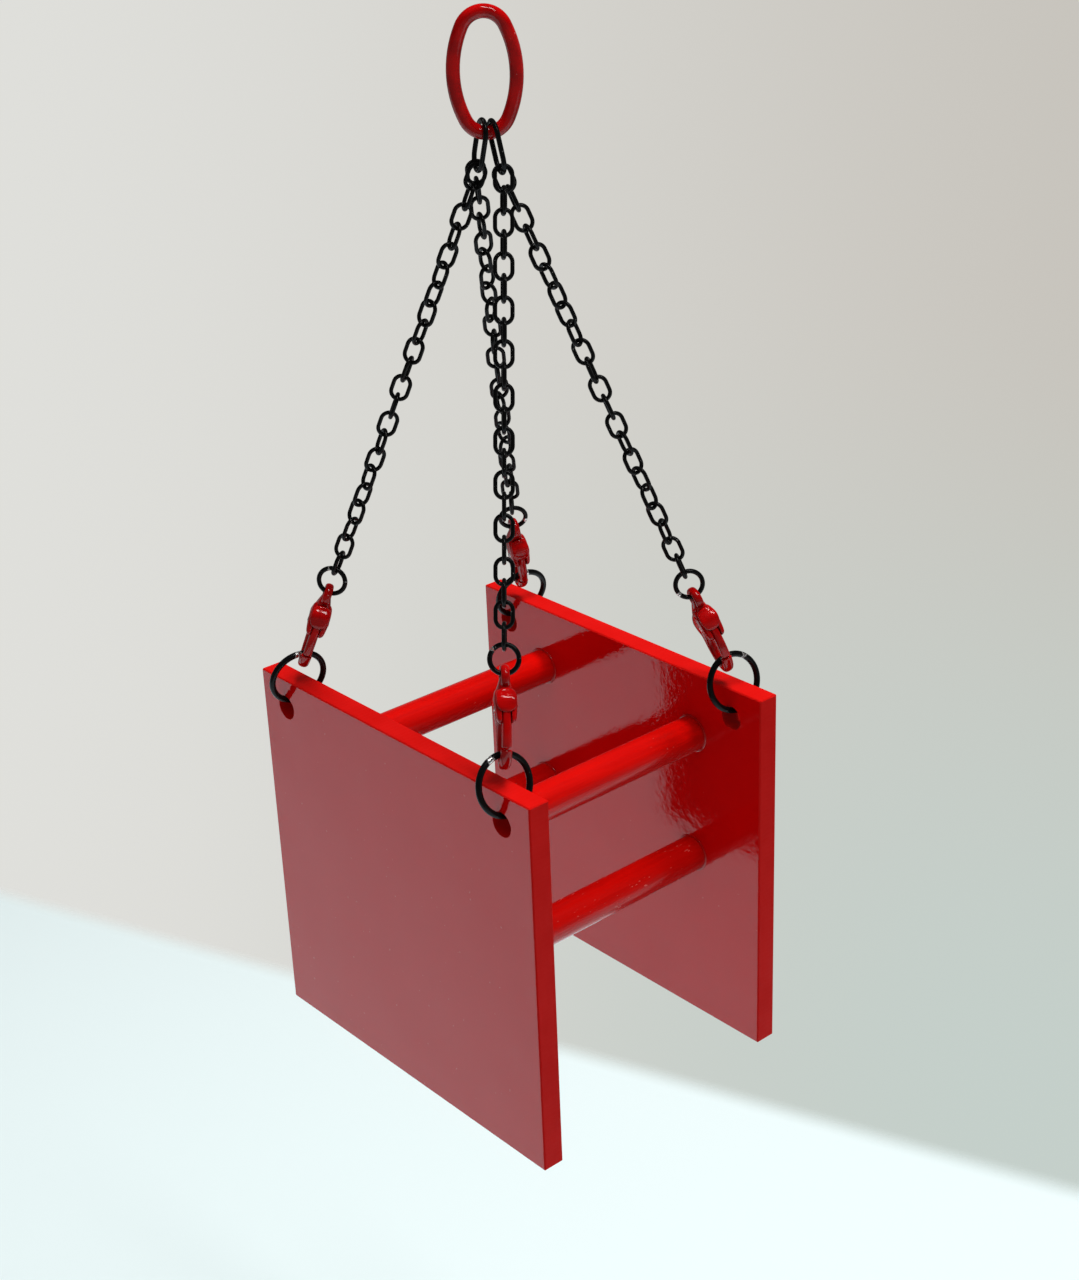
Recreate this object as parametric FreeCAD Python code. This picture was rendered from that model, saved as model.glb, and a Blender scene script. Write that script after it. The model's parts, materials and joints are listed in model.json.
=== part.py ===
import FreeCAD, Part
import os
from math import sin, cos, asin, atan2, hypot, radians, degrees, sqrt

# A scale-model trench box hanging from a four-leg chain sling.
# Units are millimetres. +Z is up, X runs along the plates, Y runs across them.
# The origin is the crown inside the master ring, where a hook bears.

V = FreeCAD.Vector
os.makedirs("parts", exist_ok=True)

# ---- box: two square plates held apart by four round rods
plate_length = 53.0
plate_height = 51.0
plate_thickness = 3.0
box_width = 41.0             # over the outer faces of the plates
edge_break = 0.15            # sawn edges are lightly broken
rod_diameter = 4.76
rod_inset = 12.0             # rod axis to the end of the plate
upper_rod_drop = 8.7         # rod axis below the top edge
lower_rod_drop = 26.5
hole_diameter = 3.2
hole_inset = 5.0             # hole centre to the end of the plate
hole_drop = 4.0              # hole centre below the top edge

# ---- master ring and the two long links on it
master_wire = 1.6
master_height = 15.0
master_width = 8.8
master_end_radius = 2.7      # centre line of the top and bottom bends
master_turn = 57.0           # degrees from X to the plane of the ring
long_link_wire = 0.6
long_link_length = 6.5
long_link_inner_width = 2.6
long_link_turn = 24.0        # each link's plane turned from XZ, towards square to the ring's wire
long_link_spread = 0.35      # each link's plane to the middle of the ring
long_link_seat = 0.24        # crown of the link above the ring wire

# ---- chain
link_wire = 0.5
link_length = 3.52
link_width = 2.5
links_per_leg = 22
first_link_aside = 0.52      # two chains sit side by side on the bow of a long link,
first_link_lift = 0.14       # each bearing on the slope of the bow
straight_links = 2           # these lie square to each other, the twist starts after them
contact_gap = 0.04           # between wires that pull on each other
eye_lift = 0.08              # a ring bears on the edges of a flat bar, not on its middle
claw_lift = 0.38
hole_lift = 0.08             # the same where a large ring carries a plate

# ---- jump rings
small_ring_wire = 0.6
small_ring_outer = 4.0
large_ring_wire = 0.8
large_ring_outer = 8.0
ring_cut = 0.10              # gap where a ring was cut

# ---- lobster clasp, measured along it from the top of its eye
clasp_length = 12.2
clasp_width = 5.2
clasp_waist = 7.4            # widest place, centre of the claw
eye_outer = 2.9
eye_hole = 1.5
eye_thickness = 1.0
neck_width = 1.7
neck_spread = 3.74             # width of the neck where it runs into the claw
slot_centre = 8.6            # opening that holds the large ring
slot_length = 5.1
slot_width = 2.5
slot_shift = 0.1             # the opening lies off the middle, towards the lever
half_thickness = [
    (0.0, 0.50), (2.3, 0.56), (3.4, 1.12), (4.6, 1.32), (6.2, 1.10), (7.6, 0.86), (9.4, 0.74), (12.4, 0.72)]
clasp_swivel = 12.0          # degrees from the small ring's plane to the eye's axis
pivot_across = 1.05          # lever pivot from the middle
pivot_along = 5.0
pin_diameter = 0.7
pin_clearance = 0.04
pin_recess = 0.15              # the pin stops short of both cheeks' faces
lever_thickness = 1.1
lever_clearance = 0.06
hub_radius = 0.75
lever_reach = 4.7            # pivot to the closing face
lever_gap = 0.05             # half of the gap at the closing face
mouth_edge = 0.55            # the mouth is open from here outwards
cheek_end = 6.8              # the cheeks beside the pivot end here
pocket_start = 4.05
pocket_end = 7.0
pocket_clearance = 0.35        # beyond the hub
thumb_across = 2.3             # end of the thumb tab, from the middle of the clasp
thumb_along = 3.1
thumb_width = 0.9
spring_wire = 0.2
spring_radius = 0.5          # centre line of the bend round the pin
spring_leg = 0.75
spring_room = 0.85           # half of the width left free for its legs as the lever turns
spring_offset = 0.3          # from the middle of the clasp's thickness

# ---- how each chain lies: turn of its first link and of each next one, in degrees
corners = {
    "front_left": (-1, -1),
    "front_right": (1, -1),
    "rear_left": (-1, 1),
    "rear_right": (1, 1),
}
first_link_turn = {"front_left": -25.5, "front_right": -32.7, "rear_left": -32.7, "rear_right": -25.5}
turn_per_link = {"front_left": 7.8, "front_right": -0.7, "rear_left": 8.8, "rear_right": 8.7}
small_ring_cut = {"front_left": 60.0, "front_right": 140.0, "rear_left": 200.0, "rear_right": -20.0}
large_ring_turn = {"front_left": 80.0, "front_right": 87.0, "rear_left": 80.0, "rear_right": 80.0}
large_ring_cut = {"front_left": 110.0, "front_right": 125.0, "rear_left": 75.0, "rear_right": 40.0}


def unit(vector):
    return V(vector).normalize()


def placed(shape, origin, x_axis, y_axis, z_axis):
    # moves a shape from its own axes to the given ones
    matrix = FreeCAD.Matrix(
        x_axis.x, y_axis.x, z_axis.x, origin.x,
        x_axis.y, y_axis.y, z_axis.y, origin.y,
        x_axis.z, y_axis.z, z_axis.z, origin.z,
        0, 0, 0, 1)
    copy = shape.copy()
    copy.Placement = FreeCAD.Placement(matrix).multiply(copy.Placement)
    return copy


def across(direction, turn):
    # the horizontal direction at this turn from X, made square to the given direction
    flat = V(cos(radians(turn)), sin(radians(turn)), 0)
    return unit(flat - direction * flat.dot(direction))


def turned_about(direction, start, angle):
    # start, turned about direction
    return FreeCAD.Rotation(direction, angle).multVec(start)


def bend(centre, radius, start, sweep, wire):
    # part of a torus in the XZ plane; angles go from +X towards +Z
    rim = centre + V(radius * cos(radians(start)), 0, radius * sin(radians(start)))
    tangent = V(-sin(radians(start)), 0, cos(radians(start)))
    disc = Part.Face(Part.Wire(Part.makeCircle(wire / 2, rim, tangent)))
    return disc.revolve(centre, V(0, -1, 0), sweep)


def stadium_link(length, width, wire):
    # closed link in the XZ plane: two half bends and two straight sides
    bend_radius = (width - wire) / 2
    half_side = (length - wire) / 2 - bend_radius
    shape = bend(V(0, 0, half_side), bend_radius, 0, 180, wire)
    shape = shape.fuse(bend(V(0, 0, -half_side), bend_radius, 180, 180, wire))
    for side in (-1, 1):
        foot = V(side * bend_radius, 0, -half_side)
        shape = shape.fuse(Part.makeCylinder(wire / 2, 2 * half_side, foot, V(0, 0, 1)))
    return shape.removeSplitter()


def oval_ring(height, width, wire, end_radius):
    # oval of four arcs in the XZ plane, centred on the origin
    half_height = (height - wire) / 2
    half_width = (width - wire) / 2
    end_centre = half_height - end_radius
    side_radius = (end_centre ** 2 + half_width ** 2 - end_radius ** 2) / (2 * (half_width - end_radius))
    side_centre = side_radius - half_width
    side_angle = degrees(atan2(end_centre, side_centre))
    arcs = [
        (V(0, 0, end_centre), end_radius, side_angle, 180 - 2 * side_angle),
        (V(side_centre, 0, 0), side_radius, 180 - side_angle, 2 * side_angle),
        (V(0, 0, -end_centre), end_radius, 180 + side_angle, 180 - 2 * side_angle),
        (V(-side_centre, 0, 0), side_radius, -side_angle, 2 * side_angle),
    ]
    shape = None
    for centre, radius, start, sweep in arcs:
        piece = bend(centre, radius, start, sweep, wire)
        shape = piece if shape is None else shape.fuse(piece)
    return shape.removeSplitter()


def jump_ring(outer, wire, cut_angle):
    # round ring in the XZ plane with its saw cut at the given angle
    radius = (outer - wire) / 2
    gap = degrees(ring_cut / radius)
    return bend(V(0, 0, 0), radius, cut_angle + gap / 2, 360 - gap, wire)


def prism(face, thickness):
    # a face in the XZ plane, thickened evenly to both sides
    lowered = face.copy()
    lowered.translate(V(0, -thickness / 2, 0))
    return lowered.extrude(V(0, thickness, 0))


def ellipse_face(centre_x, centre_z, half_x, half_z):
    curve = Part.Ellipse()
    curve.MajorRadius = half_z
    curve.MinorRadius = half_x
    edge = curve.toShape()
    matrix = FreeCAD.Matrix(0, 1, 0, centre_x, 0, 0, 1, 0, 1, 0, 0, centre_z, 0, 0, 0, 1)
    edge.Placement = FreeCAD.Placement(matrix)
    return Part.Face(Part.Wire(edge))


def polygon_face(points):
    corners_3d = [V(x, 0, z) for x, z in points]
    return Part.Face(Part.makePolygon(corners_3d + corners_3d[:1]))


def disc_face(centre_x, centre_z, radius):
    circle = Part.makeCircle(radius, V(centre_x, 0, centre_z), V(0, 1, 0))
    return Part.Face(Part.Wire(circle))


def claw_outline(thickness):
    half_z = clasp_length - clasp_waist
    return prism(ellipse_face(0, clasp_waist, clasp_width / 2, half_z), thickness)


def slot_outline(thickness):
    # pointed towards the neck, round where the large ring bears
    radius = slot_width / 2
    low_centre = slot_centre + slot_length / 2 - radius
    upper = prism(ellipse_face(-slot_shift, low_centre, radius, slot_length - radius), thickness)
    below = Part.makeBox(slot_width, thickness, slot_length, V(-slot_shift - radius, -thickness / 2, low_centre))
    return upper.cut(below).fuse(prism(disc_face(-slot_shift, low_centre, radius), thickness))


clasp_depth = 2 * max(half for along, half in half_thickness)


def thickness_envelope():
    # slab whose thickness follows half_thickness along the clasp
    reach = 2 * clasp_width
    right = [V(-reach / 2, half, along) for along, half in half_thickness]
    left = [V(-reach / 2, -half, along) for along, half in reversed(half_thickness)]
    edges = []
    for side in (right, left):
        curve = Part.BSplineCurve()
        curve.interpolate(side)
        edges.append(curve.toShape())
    edges.append(Part.makeLine(right[-1], left[0]))
    edges.append(Part.makeLine(left[-1], right[0]))
    face = Part.Face(Part.Wire(Part.__sortEdges__(edges)))
    return face.extrude(V(reach, 0, 0))


def thumb_tab(thickness, clearance):
    # bar with a round end that leans out from the lever's hub
    half = thumb_width / 2 + clearance
    lean = atan2(thumb_across - pivot_across, pivot_along - thumb_along)
    beside_x = half * cos(lean)
    beside_z = half * sin(lean)
    bar = polygon_face([
        (-pivot_across - beside_x, pivot_along + beside_z), (-pivot_across + beside_x, pivot_along - beside_z),
        (-thumb_across + beside_x, thumb_along - beside_z), (-thumb_across - beside_x, thumb_along + beside_z)])
    return prism(bar, thickness).fuse(prism(disc_face(-thumb_across, thumb_along, half), thickness))


def clasp_body():
    # claw, neck and eye in one casting; local Z runs down the clasp, Y is its thickness
    eye_radius = eye_outer / 2
    neck = polygon_face([
        (-neck_width / 2, eye_radius), (neck_width / 2, eye_radius),
        (neck_spread / 2, pivot_along - hub_radius), (-neck_spread / 2, pivot_along - hub_radius)])
    blank = claw_outline(2 * clasp_depth).fuse(prism(neck, 2 * clasp_depth))
    blank = blank.cut(slot_outline(3 * clasp_depth))
    blank = blank.common(thickness_envelope())
    eye = prism(disc_face(0, eye_radius, eye_radius), eye_thickness)
    blank = blank.fuse(eye)
    blank = blank.cut(prism(disc_face(0, eye_radius, eye_hole / 2), 2 * clasp_depth))
    # the mouth, closed by the lever
    mouth = polygon_face([
        (-clasp_width, cheek_end), (-mouth_edge, cheek_end),
        (-mouth_edge, clasp_length), (-clasp_width, clasp_length)])
    swing = disc_face(-pivot_across, pivot_along, lever_reach + lever_gap)
    blank = blank.cut(prism(mouth, 2 * clasp_depth).common(prism(swing, 2 * clasp_depth)))
    # pocket between the cheeks, for the lever's hub, its thumb tab and the spring
    pocket_width = lever_thickness + 2 * lever_clearance
    pocket_side = -pivot_across + hub_radius + pocket_clearance
    pocket = polygon_face([
        (-clasp_width, pocket_start), (pocket_side, pocket_start),
        (pocket_side, pocket_end), (-clasp_width, pocket_end)])
    blank = blank.cut(prism(pocket, pocket_width)).cut(thumb_tab(pocket_width, lever_clearance))
    pin_hole = prism(disc_face(-pivot_across, pivot_along, pin_diameter / 2), 2 * clasp_depth)
    return blank.cut(pin_hole).removeSplitter()


def clasp_lever():
    # arm that closes the mouth, with a hub on the pin and a thumb tab
    inset = lever_clearance
    arm = claw_outline(lever_thickness).cut(slot_outline(2 * lever_thickness))
    zone = polygon_face([
        (-clasp_width, pivot_along), (-mouth_edge + inset, pivot_along),
        (-mouth_edge + inset, clasp_length), (-clasp_width, clasp_length)])
    arm = arm.common(prism(zone, lever_thickness))
    swing = disc_face(-pivot_across, pivot_along, lever_reach - lever_gap)
    arm = arm.common(prism(swing, lever_thickness))
    hub = prism(disc_face(-pivot_across, pivot_along, hub_radius), lever_thickness)
    lever = arm.fuse(hub).fuse(thumb_tab(lever_thickness, 0))
    bore = prism(disc_face(-pivot_across, pivot_along, pin_diameter / 2 + pin_clearance), 2 * lever_thickness)
    lever = lever.cut(bore)
    # room for the spring on one side of the hub
    seat_radius = spring_radius + spring_wire / 2 + lever_clearance
    seat = Part.makeCylinder(seat_radius, lever_thickness, V(-pivot_across, 0, pivot_along), V(0, 1, 0))
    legs = Part.makeBox(
        2 * spring_room, lever_thickness, pivot_along - pocket_start,
        V(-pivot_across - spring_room, 0, pocket_start))
    return lever.cut(seat).cut(legs).removeSplitter()


def clasp_pin():
    length = clasp_depth - 2 * pin_recess
    return Part.makeCylinder(
        pin_diameter / 2, length, V(-pivot_across, -length / 2, pivot_along), V(0, 1, 0))


def clasp_spring():
    # hairpin round the pin, beside the lever's hub
    hairpin = bend(V(0, 0, 0), spring_radius, 0, 180, spring_wire)
    for side in (-1, 1):
        foot = V(side * spring_radius, 0, -spring_leg)
        hairpin = hairpin.fuse(Part.makeCylinder(spring_wire / 2, spring_leg, foot, V(0, 0, 1)))
    hairpin = hairpin.removeSplitter()
    hairpin.translate(V(-pivot_across, spring_offset, pivot_along))
    return hairpin


def save(name, shape):
    shape.exportStep("parts/" + name + ".step")


# ---- master ring, its plane turned about the vertical
ring_along = V(cos(radians(master_turn)), sin(radians(master_turn)), 0)
ring_across = V(0, 0, 1).cross(ring_along)
ring_centre = V(0, 0, master_wire - master_height / 2)
ring_shape = oval_ring(master_height, master_width, master_wire, master_end_radius)
save("master_ring", placed(ring_shape, ring_centre, ring_along, ring_across, V(0, 0, 1)))
ring_floor = 3 * master_wire / 2 - master_height      # centre of the wire at the bottom

# ---- geometry that all four legs share
long_pitch = long_link_length - long_link_wire
long_width = long_link_inner_width + 2 * long_link_wire
crown_height = ring_floor + (master_wire + long_link_wire) / 2 + long_link_seat
link_pitch = link_length - link_wire
small_radius = (small_ring_outer - small_ring_wire) / 2
large_radius = (large_ring_outer - large_ring_wire) / 2
eye_bar = (eye_outer - eye_hole) / 2
slot_floor = slot_centre + slot_length / 2
contacts = links_per_leg + 3
# length of a leg with every wire touching, bow of the long link to middle of the large ring
taut_length = (
    links_per_leg * (link_length - 2 * link_wire) - long_link_wire / 2
    + small_ring_outer - 3 * small_ring_wire / 2
    + slot_floor - eye_bar + large_radius - large_ring_wire / 2
    - first_link_lift - eye_lift - claw_lift)

hole_x = plate_length / 2 - hole_inset
hole_y = (box_width - plate_thickness) / 2


# each long link slopes towards its pair of plates' corners
top_x = long_link_spread / sin(radians(master_turn)) * cos(radians(master_turn))
leg_fall = sqrt(taut_length ** 2 - hole_x ** 2 - hole_y ** 2) + long_pitch
hang = {}
for side in (-1, 1):
    down = unit(V(side * (hole_x - top_x) / leg_fall, 0, -1))
    top = V(side * top_x, side * long_link_spread, crown_height)
    normal = turned_about(down, V(0, 1, 0), long_link_turn)
    hang[side] = (top, down, normal)

# where each leg's line starts: beside the lowest point of the bow
bow_radius = (long_link_inner_width + long_link_wire) / 2
bow_rise = bow_radius - sqrt(bow_radius ** 2 - first_link_aside ** 2)
starts = {}
for corner, (side_x, side_y) in corners.items():
    top, down, normal = hang[side_x]
    starts[corner] = (
        top + down * (long_pitch - bow_rise) - normal.cross(-down) * (side_y * first_link_aside))


def ring_point(down, plane, from_middle):
    # from the large ring's centre to its wire, at this distance along Y
    reach_y = large_radius * hypot(plane.y, down.y)
    angle = asin(from_middle / reach_y) - atan2(down.y, plane.y)
    return (plane * sin(angle) + down * cos(angle)) * large_radius


# A large ring bears on both ends of its hole, so its middle is over the middle of the plate.
# The level of the plates follows from the leg that hangs least deep.
tight_length = taut_length - contacts * contact_gap
feet = {}
levels = []
for corner, (side_x, side_y) in corners.items():
    start = starts[corner]
    middle = V(side_x * hole_x, side_y * hole_y, start.z - tight_length)
    for settling in range(4):
        down = unit(middle - start)
        foot = ring_point(down, across(down, large_ring_turn[corner]), 0)
        middle.x = side_x * hole_x - foot.x
        reach = hypot(middle.x - start.x, middle.y - start.y)
        middle.z = start.z - sqrt(tight_length ** 2 - reach ** 2)
    feet[corner] = foot
    levels.append(middle.z + foot.z)
foot_level = max(levels)

# ---- long links
link_shape = stadium_link(long_link_length, long_width, long_link_wire)
for side, name in ((-1, "connecting_link_left"), (1, "connecting_link_right")):
    top, down, normal = hang[side]
    save(name, placed(link_shape, top + down * (long_pitch / 2), normal.cross(-down), normal, -down))

# ---- legs: chain, small ring, clasp, large ring
chain_link = stadium_link(link_length, link_width, link_wire)
clasp_parts = {
    "clasp_body": clasp_body(),
    "clasp_lever": clasp_lever(),
    "clasp_pin": clasp_pin(),
    "clasp_spring": clasp_spring(),
}
wire_levels = []
pivots = []
for corner, (side_x, side_y) in corners.items():
    bow = starts[corner]
    seat = V(side_x * hole_x, side_y * hole_y, foot_level) - feet[corner]
    down = unit(seat - bow)
    slack = (taut_length - (seat - bow).Length) / contacts
    along = link_pitch / 2 - (long_link_wire + link_wire) / 2 - slack - first_link_lift
    turn = first_link_turn[corner]
    links = []
    for number in range(links_per_leg):
        normal = turned_about(down, across(down, 0), -turn)
        flat = normal.cross(-down)
        links.append(placed(chain_link, bow + down * along, flat, normal, -down))
        along += link_pitch - link_wire - slack
        turn += 90 if number < straight_links else 90 + turn_per_link[corner]
    save("chain_" + corner, Part.makeCompound(links))

    # the small ring takes its turn as the next link would
    along += small_radius - link_pitch / 2 + (link_wire - small_ring_wire) / 2
    normal = turned_about(down, across(down, 0), -turn)
    flat = normal.cross(-down)
    ring = jump_ring(small_ring_outer, small_ring_wire, small_ring_cut[corner])
    save("small_ring_" + corner, placed(ring, bow + down * along, flat, normal, -down))
    pivots.append(("small_ring_" + corner, bow + down * along, normal))

    # the clasp's eye hangs in the small ring
    along += small_radius - small_ring_wire / 2 - eye_bar - slack - eye_lift
    thick = turned_about(down, flat, -clasp_swivel)
    if thick.y < 0:
        thick = -thick
    wide = thick.cross(down)
    clasp_top = bow + down * along
    for part_name, part_shape in clasp_parts.items():
        save(part_name + "_" + corner, placed(part_shape, clasp_top, wide, thick, down))
    pivots.append(("clasp_lever_" + corner, clasp_top - wide * pivot_across + down * pivot_along, thick))

    # the large ring bears on the floor of the claw and in the plate's hole
    along += slot_floor - large_ring_wire / 2 - slack - claw_lift + large_radius
    plane = across(down, large_ring_turn[corner])
    normal = (-down).cross(plane)
    centre = bow + down * along
    ring = jump_ring(large_ring_outer, large_ring_wire, large_ring_cut[corner])
    save("large_ring_" + corner, placed(ring, centre, plane, normal, -down))
    pivots.append(("large_ring_" + corner, centre, normal))
    for face in (-1, 1):
        wire_levels.append((centre + ring_point(down, plane, face * plate_thickness / 2)).z)

# ---- plates, hung so that the wire bears on the top of each hole
hole_level = max(wire_levels) + large_ring_wire / 2 + hole_lift - hole_diameter / 2
plate_top = hole_level + hole_drop
plate_bottom = plate_top - plate_height
for name, side_y in (("front_plate", -1), ("rear_plate", 1)):
    near_face = side_y * box_width / 2 - (side_y + 1) / 2 * plate_thickness
    plate = Part.makeBox(
        plate_length, plate_thickness, plate_height, V(-plate_length / 2, near_face, plate_bottom))
    plate = plate.makeChamfer(edge_break, plate.Edges)
    for side_x in (-1, 1):
        start = V(side_x * hole_x, near_face - plate_thickness, hole_level)
        plate = plate.cut(Part.makeCylinder(hole_diameter / 2, 3 * plate_thickness, start, V(0, 1, 0)))
    save(name, plate)

# ---- spreader rods, butted against the inner faces
rod_length = box_width - 2 * plate_thickness
for level, drop in (("upper", upper_rod_drop), ("lower", lower_rod_drop)):
    for name, side_x in (("left", -1), ("right", 1)):
        start = V(side_x * (plate_length / 2 - rod_inset), -rod_length / 2, plate_top - drop)
        rod = Part.makeCylinder(rod_diameter / 2, rod_length, start, V(0, 1, 0))
        save("spreader_rod_" + level + "_" + name, rod)

print("plates", round(plate_top, 4), round(plate_bottom, 4), "holes", round(hole_level, 4))
print("ring floor", round(ring_floor, 4), "ring along", [round(value, 6) for value in ring_along])
for side, (top, down, normal) in hang.items():
    bow = top + down * long_pitch
    print("long link", side, [round(value, 5) for value in top], [round(value, 5) for value in bow])
for name, point, axis in pivots:
    print(name, [round(value, 5) for value in point], [round(value, 6) for value in axis])
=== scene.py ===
import json
import math
import bmesh
import bpy
import numpy as np
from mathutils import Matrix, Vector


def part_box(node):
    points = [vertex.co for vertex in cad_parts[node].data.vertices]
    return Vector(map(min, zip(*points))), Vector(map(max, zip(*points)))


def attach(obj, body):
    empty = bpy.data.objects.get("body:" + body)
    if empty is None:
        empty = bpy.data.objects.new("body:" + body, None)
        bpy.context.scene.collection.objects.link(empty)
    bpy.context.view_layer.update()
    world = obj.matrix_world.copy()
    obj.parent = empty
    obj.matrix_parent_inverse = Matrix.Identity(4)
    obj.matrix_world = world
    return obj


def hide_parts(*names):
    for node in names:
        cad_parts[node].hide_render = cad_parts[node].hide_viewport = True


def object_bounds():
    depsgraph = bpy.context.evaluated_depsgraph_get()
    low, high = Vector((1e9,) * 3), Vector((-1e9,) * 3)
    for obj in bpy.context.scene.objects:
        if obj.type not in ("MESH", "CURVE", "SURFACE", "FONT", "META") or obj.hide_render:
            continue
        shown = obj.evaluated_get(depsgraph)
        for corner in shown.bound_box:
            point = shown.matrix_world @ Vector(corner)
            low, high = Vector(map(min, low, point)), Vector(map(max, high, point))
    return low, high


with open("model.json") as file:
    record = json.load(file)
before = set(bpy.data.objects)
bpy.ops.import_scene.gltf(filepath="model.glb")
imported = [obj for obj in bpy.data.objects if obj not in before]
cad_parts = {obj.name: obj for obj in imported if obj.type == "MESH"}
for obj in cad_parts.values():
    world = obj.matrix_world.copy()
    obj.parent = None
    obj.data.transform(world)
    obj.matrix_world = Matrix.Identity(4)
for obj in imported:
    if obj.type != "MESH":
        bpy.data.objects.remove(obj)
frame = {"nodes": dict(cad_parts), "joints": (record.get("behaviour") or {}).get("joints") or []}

cadLow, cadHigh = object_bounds()
corners = ["front_left", "front_right", "rear_left", "rear_right"]
joints = {joint["name"]: joint for joint in frame["joints"]}
plateLow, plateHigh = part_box("front_plate")
print("frame loaded,", len(frame["nodes"]), "nodes")


# ---- shader building

class Value:
    # a socket in a node tree; + - * / and powers on it add Math nodes
    def __init__(self, sheet, socket):
        self.sheet = sheet
        self.socket = socket

    def math(self, operation, *others):
        return self.sheet.node("ShaderNodeMath", {"operation": operation}, dict(enumerate([self, *others])))

    def __add__(self, other):
        return self.math("ADD", other)

    def __radd__(self, other):
        return self.math("ADD", other)

    def __sub__(self, other):
        return self.math("SUBTRACT", other)

    def __rsub__(self, other):
        return self.sheet.node("ShaderNodeMath", {"operation": "SUBTRACT"}, {0: other, 1: self})

    def __mul__(self, other):
        return self.math("MULTIPLY", other)

    def __rmul__(self, other):
        return self.math("MULTIPLY", other)

    def __truediv__(self, other):
        return self.math("DIVIDE", other)

    def __rtruediv__(self, other):
        return self.sheet.node("ShaderNodeMath", {"operation": "DIVIDE"}, {0: other, 1: self})

    def __pow__(self, other):
        return self.math("POWER", other)

    def __abs__(self):
        return self.math("ABSOLUTE")

    def ramp(self, low, high):
        # 0 below low, 1 above high, smooth between
        settings = {"interpolation_type": "SMOOTHSTEP"}
        inputs = {"Value": self, "From Min": low, "From Max": high}
        return self.sheet.node("ShaderNodeMapRange", settings, inputs)

    def larger(self, other):
        return self.math("MAXIMUM", other)


class Sheet:
    # the node tree of one material, or of the world where that is given
    def __init__(self, name, world=None):
        self.material = world or bpy.data.materials.new(name)
        self.material.use_nodes = True
        self.tree = self.material.node_tree
        self.tree.nodes.clear()
        self.place = self.node("ShaderNodeTexCoord", output="Generated" if world else "Object")

    def node(self, kind, settings=None, inputs=None, output=0):
        # settings first, then the sockets' values or links
        made = self.tree.nodes.new(kind)
        for key, value in (settings or {}).items():
            setattr(made, key, value)
        for key, value in (inputs or {}).items():
            if isinstance(value, Value):
                self.tree.links.new(value.socket, made.inputs[key])
            else:
                made.inputs[key].default_value = value
        return Value(self, made.outputs[output])

    def noise(self, size, detail=2.0, stretch=(1, 1, 1), shift=0.0, rough=0.5):
        # soft noise whose lumps are about size metres across
        inputs = {"Vector": self.place, "Location": (shift, shift, shift), "Scale": stretch}
        moved = self.node("ShaderNodeMapping", {}, inputs)
        inputs = {"Vector": moved, "Scale": 1 / size, "Detail": detail, "Roughness": rough}
        return self.node("ShaderNodeTexNoise", {}, inputs)

    def axes(self):
        split = self.node("ShaderNodeSeparateXYZ", {}, {0: self.place})
        source = split.socket.node
        return [Value(self, source.outputs[i]) for i in range(3)]

    def vectors(self, operation, first, second):
        # a number from two vectors
        return self.node("ShaderNodeVectorMath", {"operation": operation}, {0: first, 1: second}, output=1)

    def mixed(self, share, first, second):
        # colour between first and second
        inputs = {"Factor": share, 6: self.colour(first), 7: self.colour(second)}
        return self.node("ShaderNodeMix", {"data_type": "RGBA"}, inputs, output=2)

    def colour(self, value):
        return value if isinstance(value, Value) else (*value, 1)

    def bump(self, height, distance, strength=1.0, under=None):
        inputs = {"Height": height, "Distance": distance, "Strength": strength}
        if under is not None:
            inputs["Normal"] = under
        return self.node("ShaderNodeBump", {}, inputs)

    def finish(self, **sockets):
        shader = self.node("ShaderNodeBsdfPrincipled")
        made = shader.socket.node
        for name, value in sockets.items():
            socket = made.inputs[name.replace("_", " ")]
            if isinstance(value, Value):
                self.tree.links.new(value.socket, socket)
            else:
                socket.default_value = (*value, 1) if isinstance(value, tuple) else value
        self.output(shader)
        return shader

    def output(self, shader):
        # the last shader given here is the one that shows
        out = self.tree.nodes.get("Material Output") or self.tree.nodes.new("ShaderNodeOutputMaterial")
        self.tree.links.new(shader.socket, out.inputs[0])


def dress(node, material):
    # a CAD node or a new piece gets one material
    target = frame["nodes"][node] if isinstance(node, str) else node
    target.data.materials.clear()
    target.data.materials.append(material)


# ---- acrylic sheet and rod

acrylic = {
    "red": (0.59, 0.0010, 0.0016),
    "deepRed": (0.54, 0.0008, 0.0014),
    "edgeRed": (0.50, 0.004, 0.003),
    "edgeDeep": (0.47, 0.003, 0.002),
    "speck": (0.75, 0.25, 0.22),   # dust and small nicks in the face
    "ior": 1.45,
    "polish": 0.03,            # roughness of the factory face
    "sawnRoughness": 0.40,
    "sawnIor": 1.13,
    "waveSize": 0.014,         # metres between the slow waves in the faces
    "waveHeight": 0.00012,
    "rippleSize": 0.0009,      # fine ripples that fray the mirrored edges
    "rippleHeight": 0.000024,
    "sawMarks": 9000,          # radians per metre
    "sawMarkHeight": 0.00001,
    "edgeBreak": 0.00018,
    "holeRadius": 0.0016,
    "holeInset": 0.005,
    "holeDrop": 0.004,
}


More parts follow.
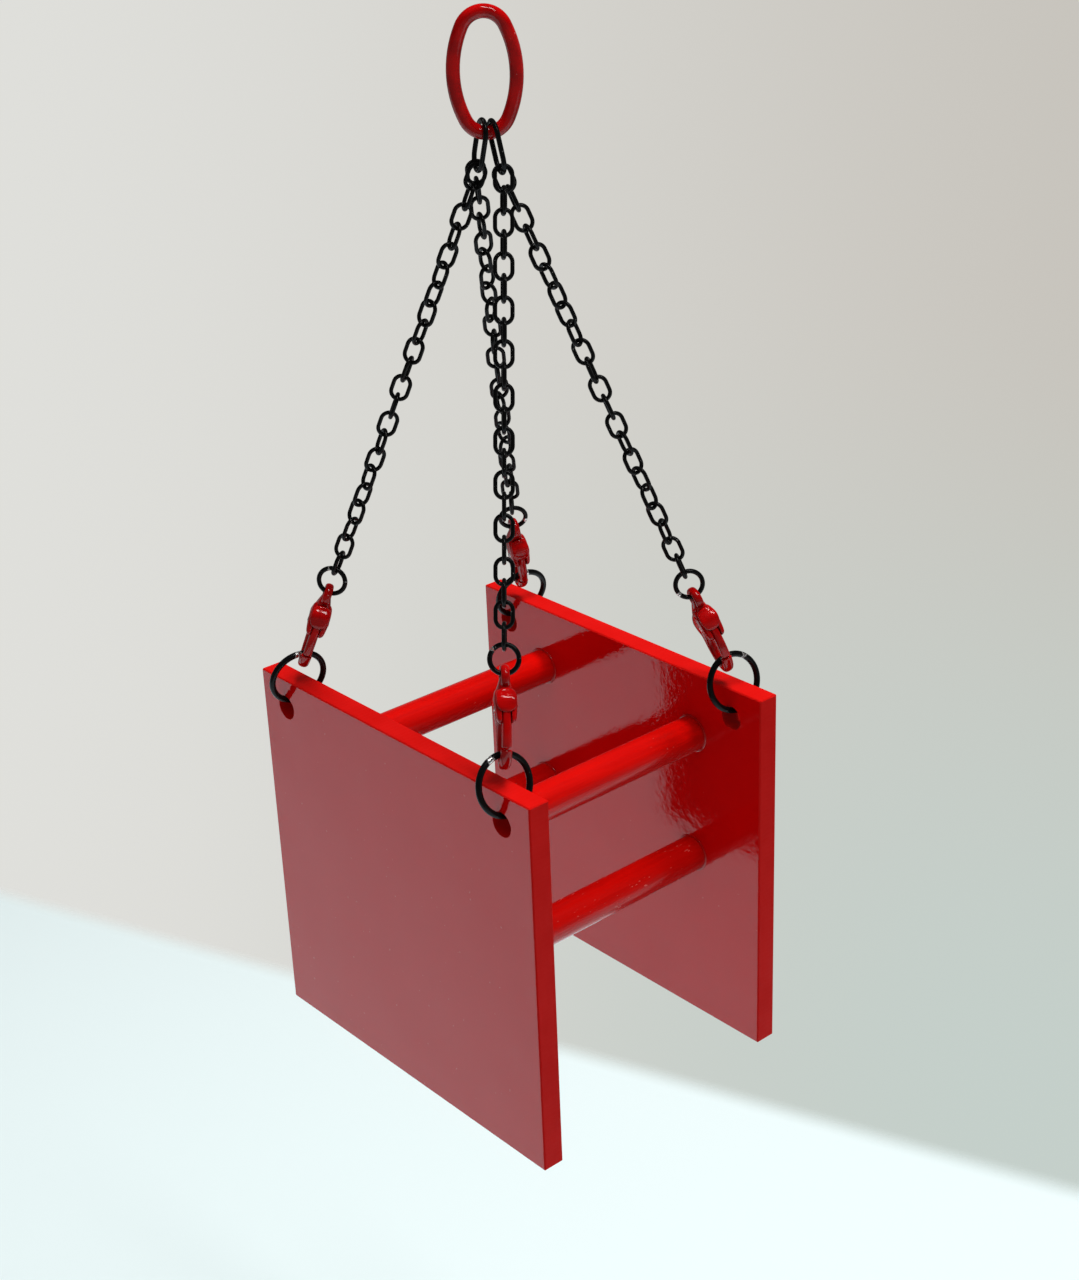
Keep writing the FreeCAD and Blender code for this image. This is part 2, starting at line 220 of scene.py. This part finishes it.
def sheetMaterial(name, seed):
    sheet = Sheet(name)
    x, _, z = sheet.axes()
    a = acrylic
    inner, outer = a["edgeBreak"] * 1.2, a["edgeBreak"] * 0.8
    endEdge = abs(x).ramp(plateHigh.x - inner, plateHigh.x - outer)
    topEdge = z.ramp(plateHigh.z - inner, plateHigh.z - outer)
    lowEdge = (0 - z).ramp(-plateLow.z - inner, -plateLow.z - outer)
    fromHoleX = abs(x) - (plateHigh.x - a["holeInset"])
    fromHoleZ = z - (plateHigh.z - a["holeDrop"])
    fromHole = (fromHoleX * fromHoleX + fromHoleZ * fromHoleZ) ** 0.5
    holeWall = 1 - fromHole.ramp(a["holeRadius"] + 0.00003, a["holeRadius"] + 0.00007)
    cut = endEdge.larger(topEdge).larger(lowEdge).larger(holeWall)
    # saw marks run across the thickness: stripes along x on top, along z at the ends
    along = x * (1 - endEdge) + z * endEdge
    wobble = sheet.noise(0.004, 2, shift=seed) * 0.0006
    marks = ((along + wobble) * a["sawMarks"]).math("SINE") * 0.5 + sheet.noise(0.0009, 3, shift=seed)
    mottle = sheet.noise(0.005, 3, shift=seed + 0.3)
    slow = sheet.noise(a["waveSize"], 1, shift=seed + 0.1)
    haze = sheet.noise(0.006, 4, shift=seed + 0.7)
    speck = sheet.noise(0.0007, 1, shift=seed + 0.9).ramp(0.74, 0.80)
    face = sheet.mixed(haze.ramp(0.35, 0.75) * 0.25, a["red"], a["deepRed"])
    face = sheet.mixed(speck * 0.25, face, a["speck"])
    edge = sheet.mixed(mottle.ramp(0.35, 0.7), a["edgeRed"], a["edgeDeep"])
    ripples = sheet.noise(a["rippleSize"], 3, shift=seed + 0.2, rough=0.6)
    waves = sheet.bump(slow, a["waveHeight"])
    waves = sheet.bump(ripples, a["rippleHeight"], under=waves)
    polished = sheet.finish(
        Base_Color=face, Roughness=a["polish"] + haze * 0.02 + speck * 0.2, Normal=waves, IOR=a["ior"])
    sawn = sheet.finish(
        Base_Color=edge, Roughness=a["sawnRoughness"] + mottle * 0.15,
        Normal=sheet.bump(marks, a["sawMarkHeight"], 0.6), IOR=a["sawnIor"])
    sheet.output(sheet.node("ShaderNodeMixShader", {}, {0: cut, 1: polished, 2: sawn}))
    return sheet.material


rodFinish = {
    "red": (0.50, 0.002, 0.0008),
    "deepRed": (0.50, 0.002, 0.001),
    "grainRed": (0.36, 0.001, 0.001),
    "scuff": (0.85, 0.30, 0.26),
    "roughness": 0.16,
    "ior": 1.33,
    "worn": {"upper": 0.02, "lower": 0.10},    # share with small scratches
    "roughSpots": 0.00003,     # height of the surface's unevenness
    "drawLines": 0.00035,      # metres between the fine lengthwise lines
}


def rodMaterial(name, seed, worn):
    sheet = Sheet(name)
    lines = sheet.noise(rodFinish["drawLines"], 2, stretch=(1, 0.03, 1), shift=seed)
    cloudy = sheet.noise(0.003, 3, stretch=(1, 0.3, 1), shift=seed + 0.2)
    pits = sheet.noise(0.00034, 4, stretch=(1, 0.35, 1), shift=seed + 0.4)
    patches = sheet.noise(0.0024, 2, stretch=(1, 0.35, 1), shift=seed + 0.6)
    scratch = (pits + (patches - 0.5) * 0.5).ramp(0.78 - worn, 0.84 - worn)
    grain = sheet.noise(0.0006, 3, stretch=(1, 0.06, 1), shift=seed + 0.8).ramp(0.42, 0.62)
    base = sheet.mixed(cloudy.ramp(0.3, 0.7) * 0.5, rodFinish["red"], rodFinish["deepRed"])
    base = sheet.mixed(grain * 0.30, base, rodFinish["grainRed"])
    base = sheet.mixed(scratch * 0.25, base, rodFinish["scuff"])
    roughness = rodFinish["roughness"] + lines * 0.08 + scratch * 0.1
    normal = sheet.bump(lines + scratch * 0.8 + cloudy * 2 - grain * 0.4, rodFinish["roughSpots"], 0.7)
    sheet.finish(Base_Color=base, Roughness=roughness, Normal=normal, IOR=rodFinish["ior"])
    return sheet.material


# ---- coated metal

coat = {
    "red": (0.36, 0.0010, 0.0012),
    "redDeep": (0.24, 0.0008, 0.0012),
    "black": (0.003, 0.003, 0.003),
    "chipped": (0.62, 0.30, 0.28),
    "bare": (0.72, 0.71, 0.69),
    "redRoughness": 0.07,
    "redIor": 1.36,
    "blackRoughness": 0.15,
    "blackIor": 1.22,
    "lumpHeight": 0.00002,
    "steel": ((0.50, 0.49, 0.48), (0.66, 0.65, 0.64)),
    "cutReach": {"small": 0.0004, "large": 0.0006},    # bare metal beside a ring's saw cut
}


def redCoat(name, seed, peel=0.0009):
    sheet = Sheet(name)
    lumps = sheet.noise(peel, 2, shift=seed)
    pooled = sheet.noise(0.0022, 2, shift=seed + 0.5)
    chips = sheet.noise(0.00045, 3, shift=seed + 0.8).ramp(0.735, 0.76)
    base = sheet.mixed(pooled.ramp(0.35, 0.7), coat["red"], coat["redDeep"])
    base = sheet.mixed(chips * 0.5, base, coat["chipped"])
    roughness = coat["redRoughness"] + pooled * 0.06 + chips * 0.2
    normal = sheet.bump(lumps, coat["lumpHeight"], 0.3)
    sheet.finish(Base_Color=base, Roughness=roughness, Normal=normal, IOR=coat["redIor"])
    return sheet.material


def blackCoat(name, seed, cuts=()):
    # black coat with worn spots; bare metal close to each saw cut
    sheet = Sheet(name)
    lumps = sheet.noise(0.0006, 2, shift=seed)
    worn = sheet.noise(0.0004, 3, shift=seed + 0.6).ramp(0.70, 0.76)
    bare = worn * 0.35
    for point, reach in cuts:
        away = sheet.vectors("DISTANCE", sheet.place, tuple(point))
        bare = bare.larger(1 - (away + (lumps - 0.5) * reach * 0.5).ramp(reach * 0.75, reach))
    base = sheet.mixed(bare, coat["black"], coat["bare"])
    roughness = coat["blackRoughness"] + lumps * 0.12
    normal = sheet.bump(lumps, coat["lumpHeight"], 0.4)
    sheet.finish(Base_Color=base, Roughness=roughness, Metallic=bare, Normal=normal, IOR=coat["blackIor"])
    return sheet.material


def steelMaterial():
    sheet = Sheet("bright_steel_pin")
    turned = sheet.noise(0.0002, 3, stretch=(1, 0.2, 1))
    base = sheet.mixed(turned, *coat["steel"])
    sheet.finish(Base_Color=base, Roughness=0.22 + turned * 0.15, Metallic=1.0)
    return sheet.material


def cutOf(node, joint):
    # middle of a ring's saw cut, from the faces that look along the wire
    mesh = frame["nodes"][node].data
    count = len(mesh.polygons)
    centres = np.zeros(count * 3)
    normals = np.zeros(count * 3)
    mesh.polygons.foreach_get("center", centres)
    mesh.polygons.foreach_get("normal", normals)
    centres = centres.reshape(-1, 3)
    normals = normals.reshape(-1, 3)
    axis = np.array(joints[joint]["axis"])
    spoke = centres - np.array(joints[joint]["pos_m"])
    tangent = np.cross(axis, spoke)
    tangent /= np.linalg.norm(tangent, axis=1)[:, None]
    ends = np.abs((tangent * normals).sum(1)) > 0.97
    return centres[ends].mean(0)


for index, name in enumerate(["front_plate", "rear_plate"]):
    dress(name, sheetMaterial("red_acrylic_" + name, 0.13 + 0.37 * index))
for level, worn in rodFinish["worn"].items():
    for index, side in enumerate(("left", "right")):
        rod = "spreader_rod_" + level + "_" + side
        dress(rod, rodMaterial("red_acrylic_" + rod, worn + index, worn))
dress("master_ring", redCoat("red_coated_ring", 0.2, peel=0.0016))
linkShade = blackCoat("black_coated_link", 0.3)
chainShade = blackCoat("black_coated_chain", 0.55)
claspShade = redCoat("red_coated_clasp", 0.6)
steelShade = steelMaterial()
for side in ("left", "right"):
    dress("connecting_link_" + side, linkShade)
for index, corner in enumerate(corners):
    dress("chain_" + corner, chainShade)
    dress("clasp_spring_" + corner, steelShade)
    for size, reach in coat["cutReach"].items():
        node = size + "_ring_" + corner
        cut = cutOf(node, size + "_ring_spin_" + corner)
        dress(node, blackCoat("black_coated_" + node, 0.1 + 0.2 * index, [(cut, reach)]))
print("materials on the frame")


# ---- skins worked out on grids of points

def spread(low, high, count):
    # places crowded towards both ends
    return low + (high - low) * (1 - np.cos(np.linspace(0.12, math.pi - 0.12, count))) / 2


def through(stations, at):
    # smooth curve through (place, value) pairs
    place, value = np.array(stations).T
    slope = np.gradient(value, place)
    before = np.clip(np.searchsorted(place, at) - 1, 0, len(place) - 2)
    span = place[before + 1] - place[before]
    t = np.clip((at - place[before]) / span, 0, 1)
    fromLow = (value[before] * (1 + 2 * t) + slope[before] * span * t) * (1 - t) ** 2
    fromHigh = (value[before + 1] * (3 - 2 * t) + slope[before + 1] * span * (t - 1)) * t ** 2
    return fromLow + fromHigh


def roundedBox(count, power=2.4):
    # outline of a box with well rounded corners, each way from -1 to 1
    turn = np.linspace(0, 2 * math.pi, count, endpoint=False)
    outline = np.stack([np.cos(turn), np.sin(turn)])
    return np.sign(outline) * np.abs(outline) ** (2 / power)


def drawnIn(places, ends):
    # width near the two ends, a quarter circle down to almost nothing
    t = np.clip(np.minimum(places - places[0], places[-1] - places) / ends + 0.02, 0, 1)
    return np.sqrt(t * (2 - t))


def skin(rows, loop=False):
    # closed skin over rows of points; open ends meet in one point
    count, around = rows.shape[:2]
    points = rows.reshape(-1, 3)
    i, j = np.meshgrid(np.arange(count if loop else count - 1), np.arange(around), indexing="ij")
    beside = (j + 1) % around
    below = (i + 1) % count
    faces = np.stack([i * around + j, i * around + beside, below * around + beside, below * around + j], -1)
    faces = faces.reshape(-1, 4).tolist()
    if not loop:
        edge = np.arange(around)
        after = (edge + 1) % around
        last = (count - 1) * around
        faces += np.c_[np.full(around, len(points)), after, edge].tolist()
        faces += np.c_[np.full(around, len(points) + 1), last + edge, last + after].tolist()
        points = np.r_[points, rows[:1].mean(1), rows[-1:].mean(1)]
    return points, faces


def makePiece(name, skins, body, material, place=None):
    # one object from closed skins, moved from local axes to the frame's
    points = []
    faces = []
    for skinPoints, skinFaces in skins:
        start = sum(len(part) for part in points)
        points.append(skinPoints)
        faces += [[start + corner for corner in face] for face in skinFaces]
    points = np.concatenate(points)
    if place is not None:
        origin, axes = place
        points = origin + points @ axes
    mesh = bpy.data.meshes.new(name)
    mesh.from_pydata(points.tolist(), [], faces)
    work = bmesh.new()
    work.from_mesh(mesh)
    bmesh.ops.recalc_face_normals(work, faces=work.faces)
    work.to_mesh(mesh)
    work.free()
    mesh.shade_smooth()
    made = bpy.data.objects.new(name, mesh)
    bpy.context.scene.collection.objects.link(made)
    dress(made, material)
    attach(made, body)
    return made


# ---- cast clasps

# metres; pairs in a list are (place along the clasp, value there)
clasp = {
    "pivotAcross": 0.00105,        # the pin, from the clasp's middle line
    "pivotAlong": 0.0050,          # and from the top of the eye
    "middle": 0.0074,              # widest place of the claw, from the top of the eye
    "claw": (0.0026, 0.0048),      # half width and half length of the claw's outline
    "slot": (0.00125, 0.00228),    # the same of its opening
    "slotMiddle": (-0.0001, 0.0086),
    "clawFrom": -25,               # degrees round the claw, from its top towards the spine
    "clawTo": 243,
    "clawEnds": 0.045,             # radians over which both ends are rounded
    "eyeRadius": 0.00108,
    "eyeBar": (0.00037, 0.00052),  # half width and half thickness of the eye's bar
    "halfThickness": [(0.0024, 0.00058), (0.0030, 0.00090), (0.0036, 0.00122), (0.0046, 0.00132),
                      (0.0060, 0.00108), (0.0072, 0.00078), (0.0090, 0.00070), (0.0122, 0.00068)],
    "cheek": (0.00270, 0.0067),    # each cheek runs from here to here
    "cheekHalf": [(0.0027, 0.00110), (0.0036, 0.00130), (0.0047, 0.00136), (0.0058, 0.00124),
                  (0.0067, 0.00105)],
    "cheekInside": 0.00059,        # the lever turns between the flat insides
    "cheekEdge": [(0.0027, 0.0004), (0.0052, 0.0003), (0.0062, -0.0006), (0.0067, -0.0010)],
    "neckFrom": (0.0013, 0.0041),
    "neckEnds": 0.0003,
    "neck": [(0.0014, 0.00058), (0.0021, 0.00090), (0.0028, 0.00122), (0.0034, 0.00145), (0.0042, 0.00160)],
    "neckHalf": [(0.0014, 0.00048), (0.0021, 0.00068), (0.0028, 0.00088), (0.0042, 0.00110)],
    "neckLeft": [(0.0014, -0.00058), (0.0021, -0.00086), (0.0028, -0.00098), (0.0034, -0.00050),
                 (0.0042, -0.00035)],
    "lever": (0.0031, 0.00955),
    "leverEnds": 0.00016,
    "leverHalf": 0.00056,
    "leverProud": 0.00005,         # lever's back beyond the claw's outline
    "leverEdge": [(0.0031, -0.0009), (0.0040, -0.0004), (0.0052, -0.0003), (0.0062, -0.00075),
                  (0.0074, -0.00116), (0.00955, -0.00136)],
    "tab": (0.0026, 0.0053),       # thumb tab, a saddle that lies outside both cheeks
    "tabHalf": [(0.0026, 0.00085), (0.0032, 0.00112), (0.0042, 0.00118), (0.0053, 0.00080)],
    "tabRise": [(0.0026, 0.00062), (0.0034, 0.00070), (0.0045, 0.00042), (0.0053, 0.00018)],
    "tabUnder": -0.00100,          # the tab's underside lies at least this far out
    "tabEnds": 0.0005,
    "pinRim": 0.00012,
    "pinRadius": 0.00036,
    "pinHalf": 0.00138,
}


def claspPlace(corner):
    # the leg's line runs through both rings, the pin's axis is the clasp's thickness
    small = np.array(joints["small_ring_spin_" + corner]["pos_m"])
    large = np.array(joints["large_ring_spin_" + corner]["pos_m"])
    lever = joints["lever_" + corner]
    down = (large - small) / np.linalg.norm(large - small)
    thick = np.array(lever["axis"], dtype=float)
    thick *= np.sign(thick[1])
    wide = np.cross(thick, down)
    origin = np.array(lever["pos_m"]) + wide * clasp["pivotAcross"] - down * clasp["pivotAlong"]
    return origin, np.array([wide, thick, down])


def limb(places, left, right, thick, inside=0.0, ends=0.0006):
    # rounded bar along the clasp between a left and a right outline;
    # with inside given it is one cheek, flat towards the middle
    drawn = drawnIn(places, ends)[:, None]
    across, rise = roundedBox(32, 3.0)
    x = (left + right)[:, None] / 2 + (right - left)[:, None] / 2 * drawn * across
    if inside:
        y = inside + (thick[:, None] - inside) * drawn * np.maximum(rise, 0)
    else:
        y = thick[:, None] * drawn * rise
    return np.stack([x, y, places[:, None] + 0 * x], -1)


def clawOutline(places):
    # outer edge on the lever's side, an ellipse
    halfX, halfZ = clasp["claw"]
    return -halfX * np.sqrt(np.maximum(1 - ((places - clasp["middle"]) / halfZ) ** 2, 0.02))


def clawRows():
    # bar between two ellipses, the outline and the opening, at the same angle on both
    turn = np.radians(spread(clasp["clawFrom"], clasp["clawTo"], 90))
    drawn = drawnIn(turn, clasp["clawEnds"])[:, None]
    spoke = np.stack([np.sin(turn), -np.cos(turn)], -1)
    outer = spoke * clasp["claw"] + (0, clasp["middle"])
    inner = spoke * clasp["slot"] + clasp["slotMiddle"]
    across, rise = roundedBox(24)
    middle = (outer + inner)[:, None] / 2
    flat = middle + (outer - inner)[:, None] / 2 * (drawn * across)[:, :, None]
    y = through(clasp["halfThickness"], flat[:, :, 1]) * rise * drawn
    return np.stack([flat[:, :, 0], y, flat[:, :, 1]], -1)


def eyeRows():
    # bar bent into a ring about the thickness
    turn = np.linspace(0, 2 * math.pi, 48, endpoint=False)[:, None]
    across, rise = roundedBox(20, 2.2)
    halfBar, halfThick = clasp["eyeBar"]
    radius = clasp["eyeRadius"] + halfBar * across
    middle = clasp["eyeRadius"] + halfBar
    y = halfThick * rise + 0 * turn
    return np.stack([radius * np.sin(turn), y, middle - radius * np.cos(turn)], -1)


def lathe(stations):
    # radius at places along the pin
    turn = np.linspace(0, 2 * math.pi, 32, endpoint=False)
    rows = []
    for place, radius in stations:
        x = radius * np.cos(turn) - clasp["pivotAcross"]
        z = radius * np.sin(turn) + clasp["pivotAlong"]
        rows.append(np.stack([x, np.full(32, place), z], -1))
    return np.array(rows)


def roundRim(low, high, radius, rim):
    # drum with a quarter circle at both rims
    angles = np.radians(np.linspace(0, 90, 7))
    half = [(low + rim * (1 - np.cos(angle)), radius - rim * (1 - np.sin(angle))) for angle in angles]
    half.insert(0, (low, radius * 0.3))
    return half + [(low + high - place, size) for place, size in reversed(half)]


def makeClasp(corner):
    place = claspPlace(corner)
    neckZ = spread(*clasp["neckFrom"], 20)
    neck = limb(
        neckZ, through(clasp["neckLeft"], neckZ), through(clasp["neck"], neckZ),
        through(clasp["neckHalf"], neckZ), ends=clasp["neckEnds"])
    low, high = clasp["cheek"]
    cheekZ = spread(low, high, 30)
    cheek = limb(
        cheekZ, clawOutline(cheekZ), through(clasp["cheekEdge"], cheekZ),
        through(clasp["cheekHalf"], cheekZ), inside=clasp["cheekInside"])
    mirrored = cheek * (1, -1, 1)
    skins = [skin(eyeRows(), loop=True), skin(neck), skin(clawRows()), skin(cheek), skin(mirrored)]
    body = makePiece("cast_body_" + corner, skins, "load", claspShade, place)
    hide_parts("clasp_body_" + corner)

    low, high = clasp["lever"]
    armZ = spread(low, high, 34)
    half = np.full(34, clasp["leverHalf"])
    arm = limb(
        armZ, clawOutline(armZ) - clasp["leverProud"], through(clasp["leverEdge"], armZ), half,
        ends=clasp["leverEnds"])
    tabZ = spread(*clasp["tab"], 26)
    under = np.minimum(clawOutline(tabZ), clasp["tabUnder"])
    tab = limb(
        tabZ, under - through(clasp["tabRise"], tabZ), under, through(clasp["tabHalf"], tabZ),
        ends=clasp["tabEnds"])
    skins = [skin(arm), skin(tab)]
    lever = makePiece(
        "cast_lever_" + corner, skins, "lever_" + corner, claspShade, place)
    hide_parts("clasp_lever_" + corner)

    reach = clasp["pinHalf"]
    drum = lathe(roundRim(-reach, reach, clasp["pinRadius"], clasp["pinRim"]))
    pin = makePiece("rivet_" + corner, [skin(drum)], "load", steelShade, place)
    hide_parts("clasp_pin_" + corner)


for corner in corners:
    makeClasp(corner)
print("clasps made")


# ---- solvent cement where each rod meets a plate

cement = {
    "bead": 0.00020,           # radius of the bead's bar
    "over": 0.00002,           # gap between the rod and the bar's middle
    "uneven": 0.35,
    "colours": ((0.44, 0.002, 0.002), (0.34, 0.001, 0.001)),
    "roughness": 0.05,
    "ior": 1.45,
}


def cementMaterial():
    # wet-looking bead that has taken up the red
    sheet = Sheet("red_cement")
    streaks = sheet.noise(0.0006, 2)
    base = sheet.mixed(streaks, *cement["colours"])
    sheet.finish(Base_Color=base, Roughness=cement["roughness"] + streaks * 0.12, IOR=cement["ior"])
    return sheet.material


def makeBead(level, side, row, seed):
    # thin ring of cement, its bar swelling and thinning round the rod
    node = "spreader_rod_" + level + "_" + side
    low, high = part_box(node)
    radius = (high.x - low.x) / 2
    random = np.random.default_rng(seed)
    turn = np.linspace(0, 2 * math.pi, 72, endpoint=False)
    swell = sum(random.normal() * np.sin(k * turn + random.uniform(0, 6)) / k for k in range(2, 7))
    bar = cement["bead"] * (1 + cement["uneven"] * swell / 1.6)[:, None]
    across, rise = roundedBox(12, 2)
    out = radius + cement["over"] + bar * across
    y = (low.y if row == "front" else high.y) + bar * rise
    x = (low.x + high.x) / 2 + out * np.cos(turn)[:, None]
    z = (low.z + high.z) / 2 + out * np.sin(turn)[:, None]
    name = "cement_" + level + "_" + side + "_" + row
    return makePiece(name, [skin(np.stack([x, y, z], -1), loop=True)], "load", beadShade)


beadShade = cementMaterial()
for number, level in enumerate(("upper", "lower")):
    for side in ("left", "right"):
        for row in ("front", "rear"):
            makeBead(level, side, row, 10 * number + len(side) + len(row))
print("cement beads made")


# ---- floor, light, camera

studio = {
    "floorDrop": 0.120,        # floor below the plates
    "floorColour": (0.77, 0.875, 0.89),
    "floorCloud": (0.745, 0.855, 0.87),
    "seamBlur": 0.008,         # the table's far edge fades over this depth
    # the wall's colours carry painted light: lighter at the left, darker to the right and greener low down
    "wallLeft": (0.745, 0.745, 0.715),
    "wallRight": (0.56, 0.535, 0.49),
    "wallLow": (0.555, 0.625, 0.59),
    "worldLight": 0.26,
    "worldTint": (1.0, 0.99, 0.97),
    "rightward": (0.661, 0.750, 0.0),    # from the wall's left end to its right
    "paintedReflectionLow": (0.22, 0.22, 0.215),    # painted reflection of the room that shiny faces see, level and above
    "paintedReflectionHigh": (0.03, 0.03, 0.03),
    "seamPoint": (-0.1223, 0.1039),
    "seamAlong": (0.932, 0.362),
    "floorAlong": 0.9,         # the table's reach to both sides and towards the viewer
    "floorNear": 0.42,
    "paintedTableGlow": 0.34,        # glow the table gives off for glossy rays only, a painted reflection where a shiny face mirrors the table
    "paintedGlowTint": (0.75, 0.9, 1.1),
}


def makeFloor():
    # flat sheet whose far edge is the line where the table meets the wall
    point = np.array(studio["seamPoint"])
    along = np.array(studio["seamAlong"])
    along = along / np.linalg.norm(along)
    nearer = np.array([along[1], -along[0]])
    point = point - nearer * studio["seamBlur"] / 2
    level = plateLow.z - studio["floorDrop"]
    u, v = np.meshgrid(
        np.linspace(-1, 1, 9) * studio["floorAlong"], np.linspace(0, 1, 9) * studio["floorNear"])
    flat = point + u.ravel()[:, None] * along + v.ravel()[:, None] * nearer
    points = np.c_[flat, np.full(len(flat), level)]
    row = np.arange(8)
    first = (row[:, None] * 9 + row[None, :]).ravel()
    faces = np.c_[first, first + 9, first + 10, first + 1]
    mesh = bpy.data.meshes.new("floor")
    mesh.from_pydata(points.tolist(), [], faces.tolist())
    floor = bpy.data.objects.new("floor", mesh)
    bpy.context.scene.collection.objects.link(floor)
    sheet = Sheet("pale_table")
    cloud = sheet.noise(0.4, 2)
    base = sheet.mixed(cloud, studio["floorColour"], studio["floorCloud"])
    across = sheet.vectors("DOT_PRODUCT", sheet.place, (*nearer, 0))
    fade = (across - float(point @ nearer)).ramp(0.0, studio["seamBlur"])
    shader = sheet.finish(Base_Color=base, Roughness=0.6, Alpha=fade)
    # painted reflection: the table glows for glossy rays only, so a mirror-like surface sees it a little
    # brighter
    rays = sheet.node("ShaderNodeLightPath", output="Is Glossy Ray")
    # the glow is painted light, not a lamp; the camera and diffuse light never see it
    glow = {"Color": (*studio["paintedGlowTint"], 1), "Strength": rays * studio["paintedTableGlow"]}
    glow = sheet.node("ShaderNodeEmission", {}, glow)
    sheet.output(sheet.node("ShaderNodeAddShader", {}, {0: shader, 1: glow}))
    floor.data.materials.append(sheet.material)


def makeWorld():
    # the wall as the lens sees it, with painted light falloff: lighter on the left, darker to the right and
    # greener low on the right; a painted reflection of the room for shiny faces; plain soft light for all
    # else
    world = bpy.data.worlds.new("room")
    bpy.context.scene.world = world
    sky = Sheet("room", world)
    # painted light falloff on the wall: its colour moves from lighter left to darker right, then greener
    # low on the right
    toRight = sky.vectors("DOT_PRODUCT", sky.place, studio["rightward"])
    height = sky.axes()[2]
    wall = sky.mixed(toRight.ramp(-0.32, 0.36), studio["wallLeft"], studio["wallRight"])
    low = (0 - height).ramp(0.25, 0.60) * toRight.ramp(-0.2, 0.2)
    wall = sky.mixed(low, wall, studio["wallLow"])
    # painted reflection: glossy rays see a room bright near level and dark above, apart from the plain
    # light that lights the object
    mirrored = sky.mixed(height.ramp(-0.02, 0.30), studio["paintedReflectionLow"], studio["paintedReflectionHigh"])
    plain = tuple(channel * studio["worldLight"] for channel in studio["worldTint"])
    glossy = sky.node("ShaderNodeLightPath", output="Is Glossy Ray")
    lens = sky.node("ShaderNodeLightPath", output="Is Camera Ray")
    light = sky.mixed(glossy, plain, mirrored)
    colour = sky.mixed(lens, light, wall)
    seen = sky.node("ShaderNodeBackground", {}, {"Color": colour})
    out = sky.tree.nodes.new("ShaderNodeOutputWorld")
    sky.tree.links.new(seen.socket, out.inputs[0])


lamps = [
    {"name": "ceiling_panel", "place": (0.02, 0.19, 0.62), "size": (0.36, 0.11), "power": 4.5,
     "colour": (1.0, 0.99, 0.97), "mirrored": False},
    {"name": "room_fill", "place": (0.10, -0.10, 0.80), "size": (1.20, 1.20), "power": 2.6,
     "colour": (1.0, 0.99, 0.98), "mirrored": False},
    {"name": "tube_left", "place": (0.15, -0.01, 0.42), "size": (0.045, 0.150), "power": 0.42,
     "colour": (1.0, 1.0, 1.0), "mirrored": True},
    {"name": "tube_right", "place": (0.27, 0.05, 0.40), "size": (0.045, 0.150), "power": 0.42,
     "colour": (1.0, 1.0, 1.0), "mirrored": True},
]


def makeLamps():
    middle = (cadLow + cadHigh) / 2
    for lamp in lamps:
        data = bpy.data.lights.new(lamp["name"], "AREA")
        data.shape = "RECTANGLE"
        data.size, data.size_y = lamp["size"]
        data.energy = lamp["power"]
        data.color = lamp["colour"]
        made = bpy.data.objects.new(lamp["name"], data)
        bpy.context.scene.collection.objects.link(made)
        made.visible_glossy = lamp["mirrored"]
        made.location = middle + type(middle)(lamp["place"])
        made.rotation_euler = (middle - made.location).to_track_quat("-Z", "Y").to_euler()


camera = {
    "place": (0.18415, -0.15213, 0.16640),   # z is above the plates' lower edge
    "turn": (65.285, 2.119, 48.616),
    "lens": 58.55,
    "sensor": 36,
    "clip": (0.01, 20),
}


def makeCamera():
    data = bpy.data.cameras.new("camera")
    data.lens = camera["lens"]
    data.sensor_width = camera["sensor"]
    data.clip_start, data.clip_end = camera["clip"]
    made = bpy.data.objects.new("camera", data)
    bpy.context.scene.collection.objects.link(made)
    x, y, z = camera["place"]
    made.location = (x, y, plateLow.z + z)
    made.rotation_euler = [math.radians(angle) for angle in camera["turn"]]
    bpy.context.scene.camera = made


makeFloor()
makeWorld()
makeLamps()
makeCamera()
bpy.context.scene.view_settings.view_transform = "Standard"
print("studio ready")
